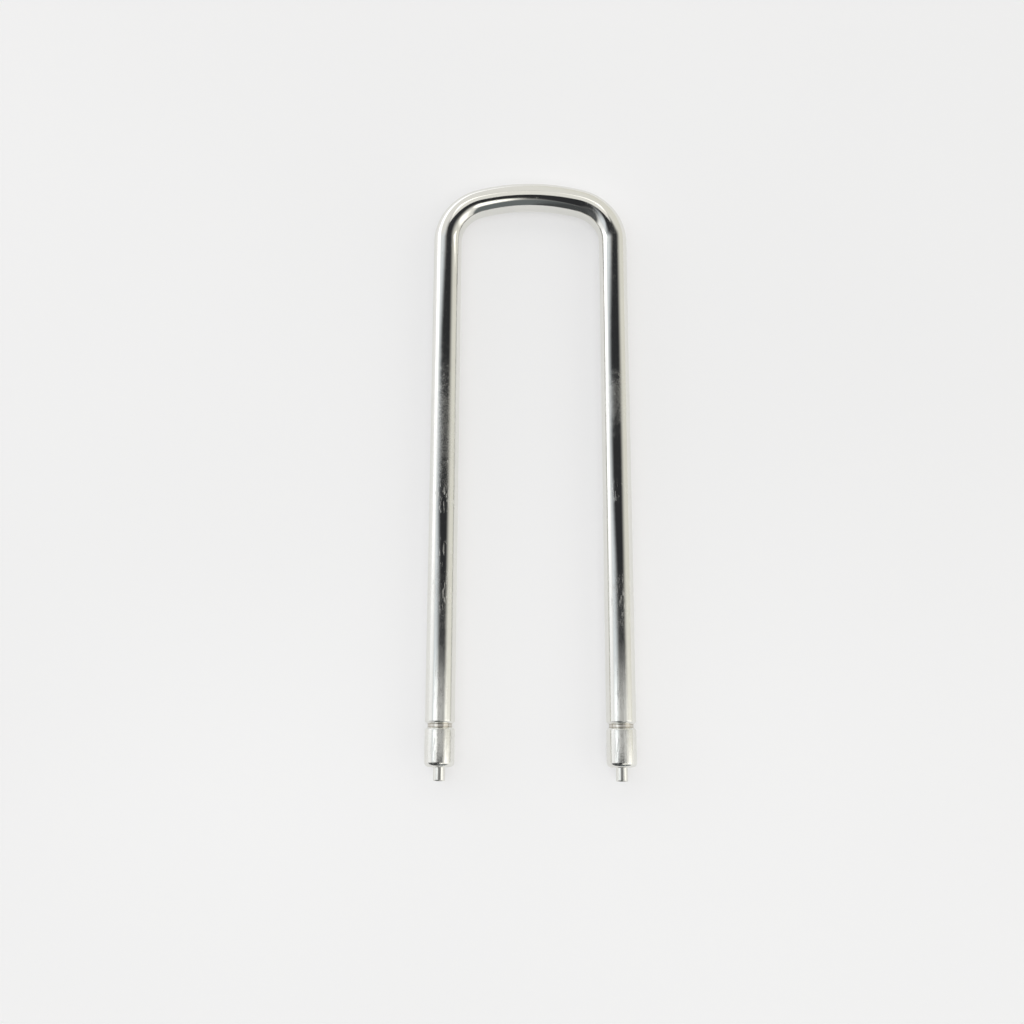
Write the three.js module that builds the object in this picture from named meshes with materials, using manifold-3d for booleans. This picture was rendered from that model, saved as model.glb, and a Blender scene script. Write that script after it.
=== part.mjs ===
// A slim bail: one round plated rod bent into a long narrow U, lying flat.
//
// Both legs end the same way.  The rod is turned down to a short neck, which
// shows as a groove, and then to a thinner spigot.  A sleeve, the ferrule, is
// pressed over the spigot, and a plain locating pin is pressed into its end
// through the ferrule's end wall.
//
// Millimetres, +Z up.  X runs across the legs, the bend is at +Y and the pins
// point to -Y.  The origin is below the middle of the whole outline, on the
// surface that the rod lies on.

import * as THREE from 'three';
import { mergeVertices } from 'three/addons/utils/BufferGeometryUtils.js';
import Module from 'manifold-3d';

// ---------------------------------------------------------------- dimensions

const ROD_DIAMETER = 6;
const LEG_SPACING = 36;         // between the axes of the two legs
const CORNER_RADIUS = 9.6;      // of the rod's axis at both corners of the bend
const CROWN_RADIUS = 41.4;      // of the rod's axis along the shallow crown
const CROWN_DISTANCE = 122.6;   // from the ferrules' end faces to the axis at the crown

const FERRULE_LENGTH = 7.7;
const FERRULE_END_WALL = 1.5;
const FERRULE_ROUNDING = 1;     // of the outer edge at the pin's end
const GROOVE_WIDTH = 0.75;
const NECK_DIAMETER = 4.9;      // the bottom of the groove
const EDGE_CHAMFER = 0.4;       // on both edges of the groove

const SPIGOT_DIAMETER = 4;
const PIN_DIAMETER = 2.4;
const PIN_REACH = 2.7;          // the length that stands out of the ferrule
const PIN_SOCKET_DEPTH = 4.7;   // the depth of the hole in the spigot
const PIN_CHAMFER = 0.3;

const CLEARANCE = 0.3;          // between pieces that meet

const ROD_SIDES = 32;           // facets around every round surface
const PIN_SIDES = 24;
const LEG_STEPS = 8;
const CORNER_STEPS = 14;
const CROWN_STEPS = 8;
const ROUNDING_STEPS = 5;

// ------------------------------------------------------- what follows from them

const rodRadius = ROD_DIAMETER / 2;
const pinRadius = PIN_DIAMETER / 2;
const legX = LEG_SPACING / 2;
const overallLength = PIN_REACH + CROWN_DISTANCE + rodRadius;
const endFaceY = PIN_REACH - overallLength / 2;
const crownY = endFaceY + CROWN_DISTANCE;

// The corner arcs run into the crown arc without a kink, so the centres of
// both lie on one line through the point where they meet.
const crownCentreY = crownY - CROWN_RADIUS;
const cornerX = legX - CORNER_RADIUS;
const cornerRise = Math.sqrt((CROWN_RADIUS - CORNER_RADIUS) ** 2 - cornerX ** 2);
const cornerY = crownCentreY + cornerRise;
const meetingAngle = Math.atan2(cornerRise, cornerX);

// Places along a leg, from the ferrule's end face towards the bend.
const spigotEnd = FERRULE_END_WALL + CLEARANCE;
const neckEnd = FERRULE_LENGTH + CLEARANCE;
const shoulder = FERRULE_LENGTH + GROOVE_WIDTH;
const socketEnd = spigotEnd + PIN_SOCKET_DEPTH;

// ------------------------------------------------------------------- booleans

const wasm = await Module();
wasm.setup();

function solidFrom(geometry) {
  geometry.deleteAttribute('normal');
  geometry.deleteAttribute('uv');
  const merged = mergeVertices(geometry);
  const mesh = new wasm.Mesh({
    numProp: 3,
    vertProperties: new Float32Array(merged.attributes.position.array),
    triVerts: new Uint32Array(merged.index.array),
  });
  return new wasm.Manifold(mesh);
}

function geometryFrom(solid) {
  const mesh = solid.getMesh();
  const geometry = new THREE.BufferGeometry();
  geometry.setAttribute('position', new THREE.BufferAttribute(mesh.vertProperties, 3));
  geometry.setIndex(new THREE.BufferAttribute(mesh.triVerts, 1));
  geometry.computeVertexNormals();
  return geometry;
}

// --------------------------------------------------------------------- shapes

// A body turned about the Y axis, from [radius, place along the axis] pairs.
function turned(profile, sides) {
  const points = profile.map(([radius, along]) => new THREE.Vector2(radius, along));
  return new THREE.LatheGeometry(points, sides);
}

// The axis of the rod as a chain of flat curves.  Sections stand close together
// on the bends and far apart on the straight legs.
class RodAxis extends THREE.Curve {
  constructor(stretches, height) {
    super();
    this.stretches = stretches;
    this.height = height;
    this.steps = stretches.reduce((sum, stretch) => sum + stretch.steps, 0);
  }

  find(u) {
    let station = u * this.steps;
    let index = 0;
    while (index < this.stretches.length - 1 && station > this.stretches[index].steps) {
      station -= this.stretches[index].steps;
      index += 1;
    }
    const { curve, steps } = this.stretches[index];
    return { curve, along: Math.min(station / steps, 1) };
  }

  getPointAt(u, target = new THREE.Vector3()) {
    const { curve, along } = this.find(u);
    const point = curve.getPoint(along);
    return target.set(point.x, point.y, this.height);
  }

  getTangentAt(u, target = new THREE.Vector3()) {
    const { curve, along } = this.find(u);
    const tangent = curve.getTangent(along);
    return target.set(tangent.x, tangent.y, 0);
  }
}

function rodAxis() {
  const spigotY = endFaceY + spigotEnd;
  const rightLeg = new THREE.LineCurve(
    new THREE.Vector2(legX, spigotY),
    new THREE.Vector2(legX, cornerY),
  );
  const rightCorner = new THREE.ArcCurve(cornerX, cornerY, CORNER_RADIUS, 0, meetingAngle);
  const crown = new THREE.ArcCurve(
    0, crownCentreY, CROWN_RADIUS, meetingAngle, Math.PI - meetingAngle,
  );
  const leftCorner = new THREE.ArcCurve(
    -cornerX, cornerY, CORNER_RADIUS, Math.PI - meetingAngle, Math.PI,
  );
  const leftLeg = new THREE.LineCurve(
    new THREE.Vector2(-legX, cornerY),
    new THREE.Vector2(-legX, spigotY),
  );
  const stretches = [
    { curve: rightLeg, steps: LEG_STEPS },
    { curve: rightCorner, steps: CORNER_STEPS },
    { curve: crown, steps: CROWN_STEPS },
    { curve: leftCorner, steps: CORNER_STEPS },
    { curve: leftLeg, steps: LEG_STEPS },
  ];
  return new RodAxis(stretches, rodRadius);
}

function roundSection(radius, sides) {
  const points = [];
  for (let i = 0; i < sides; i += 1) {
    const angle = (i / sides) * 2 * Math.PI;
    points.push(new THREE.Vector2(radius * Math.cos(angle), radius * Math.sin(angle)));
  }
  return new THREE.Shape(points);
}

// What the lathe takes off the end of a leg: everything around the neck and the
// spigot, as a ring that also breaks the edge of the rod's shoulder.
function turnedAway() {
  const outside = rodRadius + 1;
  const beyond = spigotEnd - 1;
  const neckRadius = NECK_DIAMETER / 2;
  const spigotRadius = SPIGOT_DIAMETER / 2;
  return solidFrom(turned([
    [spigotRadius, beyond],
    [outside, beyond],
    [outside, shoulder + EDGE_CHAMFER],
    [rodRadius, shoulder + EDGE_CHAMFER],
    [rodRadius - EDGE_CHAMFER, shoulder],
    [neckRadius, shoulder],
    [neckRadius, neckEnd],
    [spigotRadius, neckEnd],
    [spigotRadius, beyond],
  ], ROD_SIDES));
}

// The hole in the end of the spigot that the pin sits in.
function pinSocket() {
  const start = spigotEnd - 1;
  const depth = socketEnd - start;
  const hole = new THREE.CylinderGeometry(
    pinRadius + CLEARANCE, pinRadius + CLEARANCE, depth, PIN_SIDES,
  );
  hole.translate(0, start + depth / 2, 0);
  return solidFrom(hole);
}

function bentRod() {
  const axis = rodAxis();
  const blank = new THREE.ExtrudeGeometry(roundSection(rodRadius, ROD_SIDES), {
    steps: axis.steps,
    extrudePath: axis,
  });
  let rod = solidFrom(blank);
  for (const x of [-legX, legX]) {
    const end = [x, endFaceY, rodRadius];
    rod = rod.subtract(turnedAway().translate(end));
    rod = rod.subtract(pinSocket().translate(end));
  }
  return geometryFrom(rod);
}

// A sleeve with an end wall.  Its outer edge is rounded at the pin's end and
// chamfered at the groove.
function ferrule() {
  const boreRadius = SPIGOT_DIAMETER / 2 + CLEARANCE;
  const holeRadius = pinRadius + CLEARANCE;
  const profile = [[holeRadius, 0]];
  for (let i = 0; i <= ROUNDING_STEPS; i += 1) {
    const angle = (i / ROUNDING_STEPS) * (Math.PI / 2);
    profile.push([
      rodRadius - FERRULE_ROUNDING * (1 - Math.sin(angle)),
      FERRULE_ROUNDING * (1 - Math.cos(angle)),
    ]);
  }
  profile.push(
    [rodRadius, FERRULE_LENGTH - EDGE_CHAMFER],
    [rodRadius - EDGE_CHAMFER, FERRULE_LENGTH],
    [boreRadius, FERRULE_LENGTH],
    [boreRadius, FERRULE_END_WALL],
    [holeRadius, FERRULE_END_WALL],
    [holeRadius, 0],
  );
  return turned(profile, ROD_SIDES);
}

function locatingPin() {
  const innerEnd = socketEnd - CLEARANCE;
  return turned([
    [0, -PIN_REACH],
    [pinRadius - PIN_CHAMFER, -PIN_REACH],
    [pinRadius, -PIN_REACH + PIN_CHAMFER],
    [pinRadius, innerEnd],
    [0, innerEnd],
  ], PIN_SIDES);
}

// ------------------------------------------------------------------ materials

const polishedPlating = { color: 0xd9d6ce, metalness: 1, roughness: 0.08 };
const turnedPlating = { color: 0xd6d3cc, metalness: 1, roughness: 0.14 };

// ------------------------------------------------------------------- assembly

function part(name, geometry, finish) {
  const mesh = new THREE.Mesh(geometry, new THREE.MeshStandardMaterial(finish));
  mesh.name = name;
  return mesh;
}

const bail = new THREE.Group();
bail.add(part('bent_rod', bentRod(), polishedPlating));

for (const [side, x] of [['left', -legX], ['right', legX]]) {
  const legEnd = new THREE.Group();
  legEnd.position.set(x, endFaceY, rodRadius);
  legEnd.add(part(`${side}_ferrule`, ferrule(), turnedPlating));
  legEnd.add(part(`${side}_locating_pin`, locatingPin(), turnedPlating));
  bail.add(legEnd);
}

export default bail;
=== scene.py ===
"""A slim U-shaped bail of plated rod, lying on a pale table, seen from above.

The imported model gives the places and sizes.  Every piece is rebuilt here as one
smooth body: the rod is a round section carried along its axis, and the ferrules
and pins are turned shapes.  Lengths are in metres.
"""

import math
from collections import namedtuple

import bpy
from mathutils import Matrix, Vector


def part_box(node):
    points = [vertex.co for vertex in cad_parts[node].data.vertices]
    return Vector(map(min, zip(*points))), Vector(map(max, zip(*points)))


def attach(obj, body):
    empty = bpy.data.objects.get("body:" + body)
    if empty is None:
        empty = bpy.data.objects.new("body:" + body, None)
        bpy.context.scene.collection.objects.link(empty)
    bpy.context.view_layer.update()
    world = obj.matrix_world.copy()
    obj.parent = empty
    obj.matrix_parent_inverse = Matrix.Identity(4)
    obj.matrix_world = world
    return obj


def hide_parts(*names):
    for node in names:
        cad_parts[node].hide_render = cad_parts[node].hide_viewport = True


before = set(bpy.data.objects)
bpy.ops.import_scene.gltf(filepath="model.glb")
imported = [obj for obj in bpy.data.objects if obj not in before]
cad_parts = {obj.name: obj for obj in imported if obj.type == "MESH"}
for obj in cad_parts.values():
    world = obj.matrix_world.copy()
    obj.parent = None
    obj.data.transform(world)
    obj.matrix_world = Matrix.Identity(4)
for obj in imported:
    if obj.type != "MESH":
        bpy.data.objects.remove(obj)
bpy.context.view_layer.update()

MM = 0.001

# ------------------------------------------------------------------ sizes
# The bend, the wall thicknesses and the edge breaks can't be read from a box,
# so they are the design's own values.  Everything else comes from the frame.

CORNER_RADIUS = 9.6 * MM      # of the rod's axis at both corners
CROWN_RADIUS = 41.4 * MM      # of the rod's axis along the crown
GROOVE_WIDTH = 0.75 * MM
NECK_RADIUS = 2.45 * MM       # the bottom of the groove
SPIGOT_RADIUS = 2.0 * MM
END_WALL = 1.5 * MM           # of a ferrule
CHAMFER = 0.4 * MM            # on both edges of the groove
FERRULE_ROUNDING = 1.0 * MM   # of a ferrule's outer edge
PIN_ROUNDING = 0.3 * MM
HOLE_ROUNDING = 0.12 * MM     # of the hole that a pin stands in
EDGE_SOFTNESS = 0.05 * MM     # of the other turned edges
CHAMFER_SOFTNESS = 3 * EDGE_SOFTNESS
FIT_GAP = 0.02 * MM           # between pressed pieces

ROD_SIDES = 96
PIN_SIDES = 64
LEG_STATIONS = 60
CORNER_STATIONS = 48
CROWN_STATIONS = 32           # in each half of the crown
EDGE_STEPS = 4                # of each softened turned edge
ROUNDING_STEPS = 16
SHARP_ANGLE = math.radians(35)

ferrule_low, ferrule_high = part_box("right_ferrule")
pin_low, pin_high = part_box("right_locating_pin")
rod_low, rod_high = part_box("bent_rod")

rod_radius = (rod_high.z - rod_low.z) / 2
pin_radius = (pin_high.x - pin_low.x) / 2
leg_x = (ferrule_low.x + ferrule_high.x) / 2
axis_z = (rod_low.z + rod_high.z) / 2
end_face_y = ferrule_low.y
ferrule_length = ferrule_high.y - ferrule_low.y
pin_reach = ferrule_low.y - pin_low.y
pin_inner_end = pin_high.y - ferrule_low.y
crown_y = rod_high.y - rod_radius

# Places along a leg, counted from the ferrule's end face towards the bend.
spigot_end = END_WALL + FIT_GAP
neck_start = ferrule_length + FIT_GAP
shoulder = ferrule_length + GROOVE_WIDTH

# The corner arcs run into the crown arc without a kink, so the centres of both
# lie on one line through the point where they meet.
corner_x = leg_x - CORNER_RADIUS
corner_rise = math.sqrt((CROWN_RADIUS - CORNER_RADIUS) ** 2 - corner_x ** 2)
crown_centre_y = crown_y - CROWN_RADIUS
corner_y = crown_centre_y + corner_rise
meeting_angle = math.atan2(corner_rise, corner_x)

# ----------------------------------------------------------------- camera
# A 40 mm lens above the leg ends, tilted a little towards the bend.

CAMERA_LENS = 40.0
CAMERA_SENSOR = 36.0
CAMERA_HEIGHT = 232.7 * MM
CAMERA_X = -3.65 * MM
CAMERA_PAST_END = 0.1 * MM    # from the ferrules' end faces towards the bend
CAMERA_TILT = math.radians(12.63)
CAMERA_TURN = math.radians(0.18)
CAMERA_RANGE = (0.01, 20.0)


def add_camera():
    data = bpy.data.cameras.new("camera")
    data.lens = CAMERA_LENS
    data.sensor_width = CAMERA_SENSOR
    data.clip_start, data.clip_end = CAMERA_RANGE
    camera = bpy.data.objects.new("camera", data)
    camera.location = (CAMERA_X, end_face_y + CAMERA_PAST_END, CAMERA_HEIGHT)
    camera.rotation_euler = (CAMERA_TILT, 0.0, CAMERA_TURN)
    bpy.context.scene.collection.objects.link(camera)
    bpy.context.scene.camera = camera


# ------------------------------------------------------------ mesh helpers

def rounded(corners, closed=False):
    """A profile's points from its corners, each (radius, along, rounding, steps).  A
    corner with a rounding becomes an arc that touches both of its sides."""
    points = []
    last = len(corners) - 1
    for i, (radius, along, rounding, steps) in enumerate(corners):
        if rounding == 0 or (not closed and i in (0, last)):
            points.append((radius, along))
            continue
        corner = Vector((radius, along))
        before = (Vector(corners[i - 1][:2]) - corner).normalized()
        after = (Vector(corners[(i + 1) % len(corners)][:2]) - corner).normalized()
        half = before.angle(after) / 2
        centre = corner + (before + after).normalized() * rounding / math.sin(half)
        start = corner + before * rounding / math.tan(half) - centre
        end = corner + after * rounding / math.tan(half) - centre
        for step in range(steps + 1):
            spoke = start.slerp(end, step / steps)
            points.append(tuple(centre + spoke.normalized() * rounding))
    return points


def turned_rings(profile, sides):
    """Rings about the Y axis through the origin, one for each (radius, along)."""
    angles = [2 * math.pi * i / sides for i in range(sides)]
    return [
        [Vector((radius * math.sin(a), along, -radius * math.cos(a))) for a in angles]
        for radius, along in profile
    ]


def tube_faces(ring_count, sides, closed):
    """The faces between neighbouring rings.  closed also joins the last to the first."""
    faces = []
    for r in range(ring_count if closed else ring_count - 1):
        a = r * sides
        b = ((r + 1) % ring_count) * sides
        for i in range(sides):
            j = (i + 1) % sides
            faces.append((a + i, a + j, b + j, b + i))
    return faces


def cap_faces(base, sides, tip, at_start):
    """The fan that closes the ring starting at vertex base with the vertex tip."""
    faces = []
    for i in range(sides):
        j = (i + 1) % sides
        faces.append((base + j, base + i, tip) if at_start else (base + i, base + j, tip))
    return faces


def skin(name, rings, capped, grime=None):
    """One mesh over a row of rings, which is either capped at both ends with a point on
    the axis, or closed into a loop.  Its last argument gives each ring a value of warm tint and painted
    shade for the material."""
    sides = len(rings[0])
    vertices = [v for ring in rings for v in ring]
    values = [value for value in (grime or [0.0] * len(rings)) for _ in range(sides)]
    faces = tube_faces(len(rings), sides, not capped)
    for ring_index in ((0, len(rings) - 1) if capped else ()):
        base = ring_index * sides
        faces += cap_faces(base, sides, len(vertices), ring_index == 0)
        vertices.append(sum(rings[ring_index], Vector()) / sides)
        values.append(values[base])
    mesh = bpy.data.meshes.new(name)
    mesh.from_pydata(vertices, [], faces)
    mesh.attributes.new("groove", "FLOAT", "POINT").data.foreach_set("value", values)
    mesh.validate()
    mesh.polygons.foreach_set("use_smooth", [True] * len(mesh.polygons))
    mesh.set_sharp_from_angle(angle=SHARP_ANGLE)
    return mesh


def add_piece(name, mesh, place, material, node):
    piece = bpy.data.objects.new(name, mesh)
    piece.location = place
    bpy.context.scene.collection.objects.link(piece)
    mesh.materials.append(material)
    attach(piece, "root")
    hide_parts(node)


# ---------------------------------------------------------------- bent rod

def groove_tint_and_shade(radius, along):
    """How much warm tint and painted shade a point of the leg end's profile gets: only
    between the groove's walls, and most in the corners, where shade falls."""
    in_groove = SPIGOT_RADIUS < radius < rod_radius - CHAMFER
    if not in_groove or not neck_start <= along <= shoulder:
        return 0.0
    from_middle = abs(along - (neck_start + shoulder) / 2) / (GROOVE_WIDTH / 2)
    return 0.35 + 0.65 * from_middle ** 2


def end_profile():
    """(radius, along, warm tint and painted shade) from the bottom of the pin's socket to the full rod.
    """
    socket = pin_radius + FIT_GAP
    points = rounded([
        (socket, pin_inner_end + FIT_GAP, 0, 0),
        (socket, spigot_end, EDGE_SOFTNESS, EDGE_STEPS),
        (SPIGOT_RADIUS, spigot_end, EDGE_SOFTNESS, EDGE_STEPS),
        (SPIGOT_RADIUS, neck_start, 0, 0),
        (NECK_RADIUS, neck_start, 0, 0),
        (NECK_RADIUS, neck_start + 0.3 * GROOVE_WIDTH, 0, 0),
        (NECK_RADIUS, neck_start + 0.6 * GROOVE_WIDTH, 0, 0),
        (NECK_RADIUS, shoulder, EDGE_SOFTNESS, EDGE_STEPS),
        (rod_radius - CHAMFER, shoulder, EDGE_SOFTNESS, EDGE_STEPS),
        (rod_radius, shoulder + CHAMFER, CHAMFER_SOFTNESS, EDGE_STEPS),
        (rod_radius, shoulder + 2 * CHAMFER, 0, 0),
    ])
    return [(radius, along, groove_tint_and_shade(radius, along)) for radius, along in points]


# One ring of the rod: the point on its axis, the direction that faces outwards as
# an angle from +X, its radius, and the warm tint and painted shade on it.
Station = namedtuple("Station", "point outwards radius grime")


def leg_stations():
    """The right leg, from the bottom of the pin's socket to the corner."""
    profile = end_profile()
    stations = [
        Station(Vector((leg_x, end_face_y + along, axis_z)), 0.0, radius, grime)
        for radius, along, grime in profile
    ]
    start = end_face_y + profile[-1][1]
    for i in range(1, LEG_STATIONS):
        y = start + (corner_y - start) * i / LEG_STATIONS
        stations.append(Station(Vector((leg_x, y, axis_z)), 0.0, rod_radius, 0.0))
    return stations


def arc_station(centre_x, centre_y, radius, angle):
    x = centre_x + radius * math.cos(angle)
    y = centre_y + radius * math.sin(angle)
    return Station(Vector((x, y, axis_z)), angle, rod_radius, 0.0)


def rod_stations():
    """The whole rod, from the right leg's end to the left leg's.  The left half mirrors
    the right one."""
    right = leg_stations()
    for i in range(CORNER_STATIONS + 1):
        angle = meeting_angle * i / CORNER_STATIONS
        right.append(arc_station(corner_x, corner_y, CORNER_RADIUS, angle))
    for i in range(1, CROWN_STATIONS):
        angle = meeting_angle + (math.pi / 2 - meeting_angle) * i / CROWN_STATIONS
        right.append(arc_station(0.0, crown_centre_y, CROWN_RADIUS, angle))
    top = Station(Vector((0.0, crown_y, axis_z)), math.pi / 2, rod_radius, 0.0)
    left = [
        Station(Vector((-s.point.x, s.point.y, s.point.z)), math.pi - s.outwards, s.radius, s.grime)
        for s in reversed(right)
    ]
    return right + [top] + left


def rod_mesh():
    up = Vector((0, 0, 1))
    turns = [2 * math.pi * i / ROD_SIDES for i in range(ROD_SIDES)]
    stations = rod_stations()
    rings = []
    for point, angle, radius, _ in stations:
        outward = Vector((math.cos(angle), math.sin(angle), 0.0))
        rings.append([
            point + radius * (math.sin(turn) * outward - math.cos(turn) * up) for turn in turns
        ])
    return skin("bent_rod_body", rings, True, [s.grime for s in stations])


# ------------------------------------------------------- ferrules and pins

def ferrule_mesh():
    bore = SPIGOT_RADIUS + FIT_GAP
    hole = pin_radius + FIT_GAP
    profile = rounded([
        (hole, 0, HOLE_ROUNDING, EDGE_STEPS),
        (rod_radius, 0, FERRULE_ROUNDING, ROUNDING_STEPS),
        (rod_radius, ferrule_length - CHAMFER, CHAMFER_SOFTNESS, EDGE_STEPS),
        (rod_radius - CHAMFER, ferrule_length, EDGE_SOFTNESS, EDGE_STEPS),
        (bore, ferrule_length, 0, 0),
        (bore, END_WALL, 0, 0),
        (hole, END_WALL, 0, 0),
    ], closed=True)
    return skin("ferrule_body", turned_rings(profile, ROD_SIDES), False)


def pin_mesh():
    middle_of_face = pin_radius / 4
    profile = rounded([
        (middle_of_face, -pin_reach, 0, 0),
        (pin_radius, -pin_reach, PIN_ROUNDING, ROUNDING_STEPS),
        (pin_radius, pin_inner_end, 0, 0),
    ])
    return skin("pin_body", turned_rings(profile, PIN_SIDES), True)


# ------------------------------------------------------------- node graphs

class Graph:
    """Short calls for building a node tree."""

    def __init__(self, tree):
        self.tree = tree
        tree.nodes.clear()

    def node(self, kind, inputs=None, **settings):
        made = self.tree.nodes.new(kind)
        for key, value in settings.items():
            setattr(made, key, value)
        for key, value in (inputs or {}).items():
            self.feed(made.inputs[key], value)
        return made

    def feed(self, socket, value):
        if isinstance(value, bpy.types.NodeSocket):
            self.tree.links.new(value, socket)
        else:
            socket.default_value = value

    def math(self, operation, a, b=0.0):
        made = self.node("ShaderNodeMath", {0: a, 1: b}, operation=operation)
        return made.outputs[0]

    def times(self, a, b):
        return self.math("MULTIPLY", a, b)

    def plus(self, a, b):
        return self.math("ADD", a, b)

    def vector(self, operation, a, b=(0.0, 0.0, 0.0)):
        made = self.node("ShaderNodeVectorMath", {0: a, 1: b}, operation=operation)
        return made.outputs["Value" if operation in ("LENGTH", "DOT_PRODUCT") else "Vector"]

    def ramp(self, value, low, high, to_low=0.0, to_high=1.0):
        """value from low..high, eased, to to_low..to_high."""
        made = self.node(
            "ShaderNodeMapRange",
            {"Value": value, "From Min": low, "From Max": high, "To Min": to_low, "To Max": to_high},
            interpolation_type="SMOOTHSTEP",
        )
        return made.outputs["Result"]

    def below(self, value, full, none):
        """1 up to full, easing to 0 at none."""
        return self.ramp(value, full, none, 1.0, 0.0)

    def between(self, value, none_low, full_low, full_high, none_high):
        """1 from full_low to full_high, easing to 0 at none_low and none_high."""
        return self.times(self.ramp(value, none_low, full_low), self.below(value, full_high, none_high))

    def mix(self, factor, a, b):
        """From a to b.  Either is an (r, g, b) colour or a socket."""
        made = self.node("ShaderNodeMix", {0: factor}, data_type="RGBA")
        for index, colour in ((6, a), (7, b)):
            self.feed(made.inputs[index], (*colour, 1.0) if isinstance(colour, tuple) else colour)
        return made.outputs[2]

    def noise(self, vector, scale, detail=2.0, roughness=0.5):
        made = self.node(
            "ShaderNodeTexNoise",
            {"Vector": vector, "Scale": scale, "Detail": detail, "Roughness": roughness},
        )
        return made.outputs["Fac"]

    def end(self, kind, shader):
        self.feed(self.node(kind).inputs["Surface"], shader.outputs[0])


def new_material(name):
    material = bpy.data.materials.new(name)
    material.use_nodes = True
    return material, Graph(material.node_tree)


# ----------------------------------------------------------------- plating
# Where handling has worn the rod, on the top of both legs and of the crown.  side
# is the place across the part, -1 and 1 being the legs.  along is the middle of the
# stretch and reach is half its length, both in millimetres of the frame's Y.

Worn = namedtuple("Worn", "side along reach strength")

SCUFFED = (
    Worn(-1, 7.0, 18.0, 1.0),
    Worn(1, 13.5, 8.5, 0.9),
    Worn(-1, -30.0, 9.0, 0.55),
    Worn(1, -30.0, 10.0, 0.55),
)
SCRATCHED = (
    Worn(-1, -8.0, 4.0, 1.0),
    Worn(-1, -19.5, 4.0, 1.0),
    Worn(-1, -27.0, 4.5, 0.7),
    Worn(1, -6.0, 3.0, 0.6),
    Worn(1, -28.0, 5.5, 0.6),
    Worn(-1, -46.0, 9.0, 0.5),
    Worn(1, -46.0, 9.0, 0.5),
    Worn(0.78, 59.0, 3.5, 0.4),
)
WORN_WIDTH = 4.5              # half the width of every stretch, in millimetres

STROKE_SCALE = (2.9, 0.40, 2.0)   # scratches are thin across and long along the rod
STROKES = ((0.22, 3.0), (-0.15, 11.0))   # their turn from the rod's axis, and a seed

# A dark warm colour for the groove: a warm tint, and painted shade that deepens towards the walls.
GROOVE_TINT_AND_SHADE = (0.40, 0.355, 0.29)
PATCH_SHADE = 0.97            # of the tone patches, against the clean colour
BUMP_HEIGHT = 0.004 * MM
BUMP_STRENGTH = 0.6


def worn_places(g, in_mm, places):
    """How worn the metal is, easing to 0 around the given stretches."""
    total = 0.0
    ragged = g.ramp(g.noise(in_mm, 0.7, 3.0, 0.7), 0.3, 0.7, -0.2, 0.2)
    for side, along, reach, strength in places:
        middle = (side * leg_x / MM, along, 2 * rod_radius / MM)
        offset = g.vector("SUBTRACT", in_mm, middle)
        scaled = g.vector("DIVIDE", offset, (WORN_WIDTH, reach, WORN_WIDTH))
        distance = g.plus(g.vector("LENGTH", scaled), ragged)
        total = g.math("MAXIMUM", total, g.ramp(distance, 0.15, 1.2, strength, 0.0))
    return total


def scratch_strokes(g, in_mm, turn, seed):
    """Short thin strokes that run along Y before they are turned about Z."""
    laid = g.node(
        "ShaderNodeMapping",
        {
            "Vector": in_mm,
            "Location": (seed, seed, seed),
            "Rotation": (0.0, 0.0, turn),
            "Scale": STROKE_SCALE,
        },
    ).outputs[0]
    return g.ramp(g.noise(laid, 1.0, 1.0, 0.4), 0.60, 0.66)


def fine_scratches(g, in_mm, handled):
    """Strokes over the scratched stretches, and a few faint ones anywhere else."""
    strokes = g.math("MAXIMUM", *(scratch_strokes(g, in_mm, *stroke) for stroke in STROKES))
    scratched = g.math("MAXIMUM", worn_places(g, in_mm, SCRATCHED), handled)
    rare = g.ramp(g.noise(in_mm, 0.5, 1.0), 0.60, 0.70)
    return g.times(strokes, g.math("MAXIMUM", scratched, g.times(rare, 0.3)))


# What a plated surface carries, each as a value from 0 to 1.
Marks = namedtuple("Marks", "patches grain specks scuffs scratches")


def surface_marks(g, in_mm, handled):
    grain = g.noise(in_mm, 6.4, 3.0, 0.75)
    return Marks(
        patches=g.ramp(g.noise(in_mm, 0.12, 3.0, 0.6), 0.35, 0.75),
        grain=grain,
        specks=g.ramp(grain, 0.58, 0.70),
        scuffs=worn_places(g, in_mm, SCUFFED),
        scratches=fine_scratches(g, in_mm, handled),
    )


def plating_tone(g, colour, marks):
    dulled = tuple(PATCH_SHADE * c for c in colour)
    # The groove attribute mixes in the groove's warm tint and its painted shade.
    grime = g.node("ShaderNodeAttribute", attribute_name="groove").outputs["Fac"]
    return g.mix(grime, g.mix(marks.patches, colour, dulled), GROOVE_TINT_AND_SHADE)


def plating_roughness(g, gloss, marks):
    scuff_grain = g.ramp(marks.grain, 0.40, 0.62, 0.14, 0.29)
    roughness = g.plus(gloss, g.times(marks.patches, 0.03))
    roughness = g.plus(roughness, g.times(marks.scuffs, scuff_grain))
    roughness = g.plus(roughness, g.times(marks.specks, 0.05))
    return g.plus(roughness, g.times(marks.scratches, 0.40))


def plating_height(g, in_mm, handled, lathe_lines, marks):
    """Pits, scratches, a shallow ripple, dents, and the rings that a tool left."""
    height = g.times(marks.specks, g.plus(0.2, marks.scuffs))
    height = g.math("SUBTRACT", height, g.times(marks.scratches, 0.8))
    height = g.plus(height, g.times(g.noise(in_mm, 0.5, 2.0), 1.5))
    height = g.plus(height, g.times(g.noise(in_mm, 1.1, 2.0), 10.0 * handled))
    if not lathe_lines:
        return height
    along = g.node("ShaderNodeSeparateXYZ", {0: in_mm}).outputs["Y"]
    rings = g.node(
        "ShaderNodeTexNoise", {"W": g.times(along, 7.0), "Scale": 1.0}, noise_dimensions="1D",
    ).outputs["Fac"]
    return g.plus(height, g.times(rings, lathe_lines))


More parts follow.
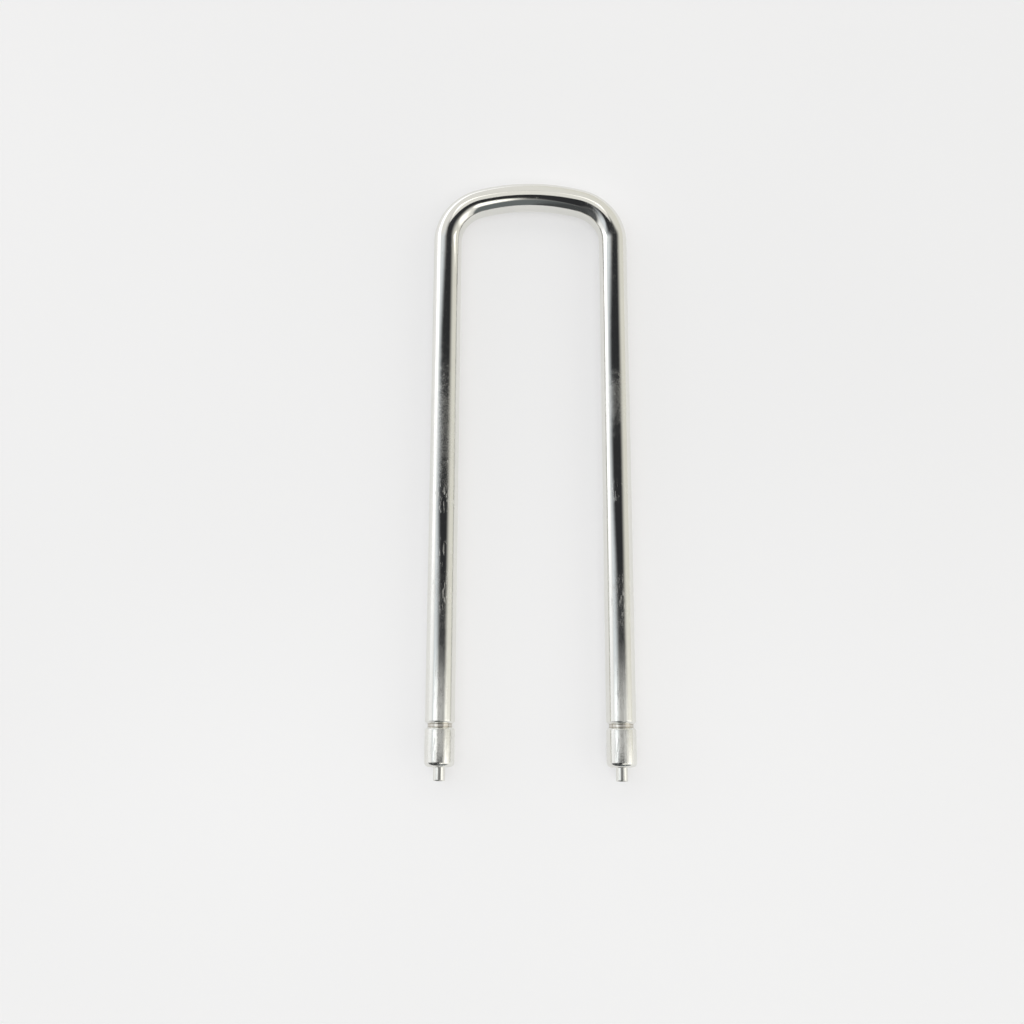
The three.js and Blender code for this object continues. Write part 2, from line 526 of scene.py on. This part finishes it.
def plating(name, colour, gloss, handled, lathe_lines):
    """Bright plating.  gloss is the roughness of the clean metal, handled is how scratched
    and dented it is all over, and lathe_lines is how deep the turned rings are."""
    material, g = new_material(name)
    place = g.node("ShaderNodeTexCoord").outputs["Object"]
    in_mm = g.node("ShaderNodeVectorMath", {0: place, "Scale": 1 / MM}, operation="SCALE").outputs[0]
    marks = surface_marks(g, in_mm, handled)
    bump = g.node("ShaderNodeBump", {
        "Height": plating_height(g, in_mm, handled, lathe_lines, marks),
        "Strength": BUMP_STRENGTH,
        "Distance": BUMP_HEIGHT,
    })
    shader = g.node("ShaderNodeBsdfPrincipled", {
        "Base Color": plating_tone(g, colour, marks),
        "Metallic": 1.0,
        "Roughness": plating_roughness(g, gloss, marks),
        "Normal": bump.outputs[0],
    })
    g.end("ShaderNodeOutputMaterial", shader)
    return material


# ------------------------------------------------------------------- table

TABLE_HALF = 2.0
TABLE_TONES = ((0.60, 0.60, 0.605), (0.62, 0.62, 0.625))
TABLE_GLOW = (0.99, 0.985, 0.985, 1.0)
TABLE_GLOW_STRENGTH = 0.395


def table_top():
    """A pale translucent sheet, lit a little from below as well as from above."""
    material, g = new_material("table_top")
    place = g.node("ShaderNodeTexCoord").outputs["Object"]
    shade = g.ramp(g.noise(place, 6.0, 2.0), 0.3, 0.7)
    shader = g.node("ShaderNodeBsdfPrincipled", {
        "Base Color": g.mix(shade, *TABLE_TONES),
        "Roughness": 0.5,
        "Emission Color": TABLE_GLOW,
        "Emission Strength": TABLE_GLOW_STRENGTH,
    })
    g.end("ShaderNodeOutputMaterial", shader)
    return material


def add_table():
    half = TABLE_HALF
    mesh = bpy.data.meshes.new("table")
    mesh.from_pydata(
        [(-half, -half, 0), (half, -half, 0), (half, half, 0), (-half, half, 0)],
        [], [(0, 1, 2, 3)],
    )
    table = bpy.data.objects.new("table", mesh)
    bpy.context.scene.collection.objects.link(table)
    mesh.materials.append(table_top())


# -------------------------------------------------------------------- room
# What the plating mirrors.  A direction is two angles in degrees: across, from
# straight up towards +X, and back, from that plane towards +Y.  The front is where
# back is negative.  Colours may be over 1 where the room is brighter than white.

LEFT_WALL = (0.86, 0.85, 0.83)
RIGHT_WALL = (0.81, 0.80, 0.735)
COOL_STRIP = (0.80, 0.85, 0.90)
WINDOW_NEAR = (1.04, 1.05, 1.07)
WINDOW_FAR = (1.60, 1.62, 1.68)
DIM_CORNER = (0.10, 0.105, 0.11)
FRONT_SCREEN = (0.88, 0.87, 0.84)
OVERHEAD_SHAPE = (0.030, 0.031, 0.034)
DARK_FRONT_LEFT = (0.068, 0.072, 0.075)
DARK_FRONT_RIGHT = (0.155, 0.172, 0.178)
SIDE_LAMP = (1.45, 1.43, 1.38)
FRONT_LAMP = (1.60, 1.58, 1.50)
FRONT_LAMP_DIRECTION = Vector((0.290, -0.530, 0.797))


def compass(g):
    """The direction that is looked in, and its two angles."""
    direction = g.node("ShaderNodeTexCoord").outputs["Generated"]
    x, y, z = g.node("ShaderNodeSeparateXYZ", {0: direction}).outputs
    across = g.math("DEGREES", g.math("ARCTAN2", x, z))
    back = g.math("DEGREES", g.math("ARCSINE", y))
    return direction, across, back


def overhead_mask(g, across, back):
    """The dark shape overhead.  Its left edge leans out, in, out and in again from back
    to front.  Its right edge closes in towards the front."""
    lean = g.times(g.between(back, -6.0, 2.0, 8.0, 14.0), -14.0)
    lean = g.plus(lean, g.ramp(back, 8.0, 20.0, 0.0, 8.0))
    lean = g.plus(lean, g.ramp(back, 20.0, 29.0, 0.0, -34.0))
    left_edge = g.ramp(g.plus(across, lean), -58.0, -18.0)
    closing = g.times(g.math("MINIMUM", back, 0.0), 0.95)
    right_edge = g.below(g.math("SUBTRACT", across, closing), 24.0, 60.0)
    return g.times(g.times(left_edge, right_edge), g.between(back, -47.0, -40.0, 28.0, 34.0))


def pale_walls(g, across, back):
    """The walls with a bright window on the left and a cool strip beside it."""
    cool_strip = g.times(
        g.between(across, -66.0, -50.0, -24.0, -8.0), g.between(back, -20.0, 0.0, 24.0, 32.0),
    )
    window = g.times(g.below(across, -72.0, -52.0), g.ramp(back, -22.0, -4.0))
    window_light = g.mix(g.ramp(back, 2.0, 21.0), WINDOW_NEAR, WINDOW_FAR)
    light = g.mix(g.ramp(across, -20.0, 60.0), LEFT_WALL, RIGHT_WALL)
    light = g.mix(cool_strip, light, COOL_STRIP)
    return g.mix(window, light, window_light)


def darkened(g, light, across, back):
    """The walls behind everything dark: a corner on the left, the shape overhead and the
    dim front.  A pale screen stands at the front on the right."""
    corner = g.times(g.below(across, -40.0, -15.0), g.below(back, -18.0, -6.0))
    screen = g.times(
        g.between(across, 4.0, 22.0, 95.0, 115.0), g.between(back, -48.0, -38.0, -18.0, -4.0),
    )
    front_light = g.mix(g.ramp(across, -28.0, 4.0), DARK_FRONT_LEFT, DARK_FRONT_RIGHT)
    light = g.mix(corner, light, DIM_CORNER)
    light = g.mix(screen, light, FRONT_SCREEN)
    light = g.mix(overhead_mask(g, across, back), light, OVERHEAD_SHAPE)
    return g.mix(g.below(back, -47.0, -36.0), light, front_light)


def add_room():
    world = bpy.data.worlds.new("room")
    bpy.context.scene.world = world
    world.use_nodes = True
    g = Graph(world.node_tree)
    direction, across, back = compass(g)

    light = darkened(g, pale_walls(g, across, back), across, back)
    side_lamp = g.times(
        g.between(across, 36.0, 52.0, 74.0, 90.0), g.between(back, -34.0, -20.0, -6.0, 8.0),
    )
    along_lamp = g.vector("DOT_PRODUCT", direction, FRONT_LAMP_DIRECTION)
    from_lamp = g.math("DEGREES", g.math("ARCCOSINE", along_lamp))
    light = g.mix(side_lamp, light, SIDE_LAMP)
    light = g.mix(g.below(from_lamp, 8.0, 16.0), light, FRONT_LAMP)
    background = g.node("ShaderNodeBackground", {"Color": light, "Strength": 1.0})
    g.end("ShaderNodeOutputWorld", background)


# ------------------------------------------------------------------- lamps

WHITE = (1.0, 1.0, 1.0)

# Pale panels with grids over the leg ends.  Each column is its left and right edge
# and its brightness.
PANEL_HEIGHT = 100 * MM
PANEL_GRID = math.radians(130)
PANEL_AIM = Vector((0, -0.36, -1))   # they lean away from the bend, which doesn't see them
PANEL_TINT = (1.0, 1.0, 0.99)
PANEL_COLUMNS = {
    "left": (-125 * MM, -45 * MM, 1.15),
    "middle": (-45 * MM, 45 * MM, 0.60),
    "right": (45 * MM, 115 * MM, 0.85),
}
# Each row is its front and back edge, and its share of the brightness in the side
# columns and in the middle one.  The rows fade out towards the bend.
PANEL_ROWS = (
    (-78.0 * MM, -61.5 * MM, 1.0, 0.40),
    (-61.5 * MM, -41.0 * MM, 1.0, 1.0),
    (-41.0 * MM, -37.0 * MM, 0.8, 0.8),
    (-37.0 * MM, -33.0 * MM, 0.5, 0.5),
    (-33.0 * MM, -28.0 * MM, 0.22, 0.22),
)

# A pale sheet close above the bend, which gives its outer side an even tone.
SHEET_PLACE = Vector((0.0, 64.1 * MM, 18 * MM))
SHEET_SIZE = (38 * MM, 8.1 * MM)
SHEET_BRIGHTNESS = 0.86
SHEET_TINT = (1.0, 0.985, 0.945)

SOFT_LIGHT_PLACE = Vector((-0.15, -0.35, 1.3))
SOFT_LIGHT_SIZE = (1.4, 1.4)
SOFT_LIGHT_BRIGHTNESS = 1.15


def add_lamp(name, place, aim, size, brightness, tint, mirrored_only, grid=math.pi):
    """A flat lamp of size (width, depth) that shines along aim.  brightness is what it
    looks like in a perfect mirror straight ahead of it.  It shows either only in
    reflections or only as light on matt surfaces.  grid is the full angle that a grid
    on it lets through."""
    width, depth = size
    data = bpy.data.lights.new(name, "AREA")
    data.shape = "RECTANGLE"
    data.size = width
    data.size_y = depth
    data.spread = grid
    data.energy = brightness * math.pi * width * depth
    if grid < math.pi:
        data.energy *= 1 - (grid / 2) / math.tan(grid / 2)
    data.color = tint
    lamp = bpy.data.objects.new(name, data)
    lamp.location = place
    lamp.rotation_euler = aim.to_track_quat("-Z", "Y").to_euler()
    lamp.visible_camera = False
    lamp.visible_diffuse = not mirrored_only
    lamp.visible_glossy = mirrored_only
    bpy.context.scene.collection.objects.link(lamp)


def add_end_panels():
    for column, (left, right, brightness) in PANEL_COLUMNS.items():
        for front, back, side_share, middle_share in PANEL_ROWS:
            share = middle_share if column == "middle" else side_share
            place = Vector(((left + right) / 2, (front + back) / 2, PANEL_HEIGHT))
            size = (right - left, back - front)
            add_lamp(
                f"{column}_panel", place, PANEL_AIM, size, brightness * share, PANEL_TINT,
                True, PANEL_GRID,
            )


def add_lamps():
    add_lamp(
        "soft_light", SOFT_LIGHT_PLACE, -SOFT_LIGHT_PLACE, SOFT_LIGHT_SIZE,
        SOFT_LIGHT_BRIGHTNESS, WHITE, False,
    )
    add_lamp(
        "back_sheet", SHEET_PLACE, Vector((0, 0, -1)), SHEET_SIZE, SHEET_BRIGHTNESS,
        SHEET_TINT, True,
    )
    add_end_panels()


# ---------------------------------------------------------------- assembly

def add_pieces():
    rod_plating = plating("polished_plating", (0.81, 0.805, 0.765), 0.07, 0.0, 0.0)
    ferrule_plating = plating("turned_plating", (0.81, 0.805, 0.765), 0.10, 0.5, 1.2)
    pin_plating = plating("pin_plating", (0.80, 0.795, 0.755), 0.12, 0.3, 1.6)

    add_piece("rod", rod_mesh(), (0, 0, 0), rod_plating, "bent_rod")
    for side, x in (("left", -leg_x), ("right", leg_x)):
        place = (x, end_face_y, axis_z)
        add_piece(
            f"{side}_collar", ferrule_mesh(), place, ferrule_plating,
            f"{side}_ferrule",
        )
        add_piece(
            f"{side}_pin", pin_mesh(), place, pin_plating,
            f"{side}_locating_pin",
        )


add_camera()
add_table()
add_room()
add_lamps()
add_pieces()
bpy.context.scene.view_settings.view_transform = "Standard"
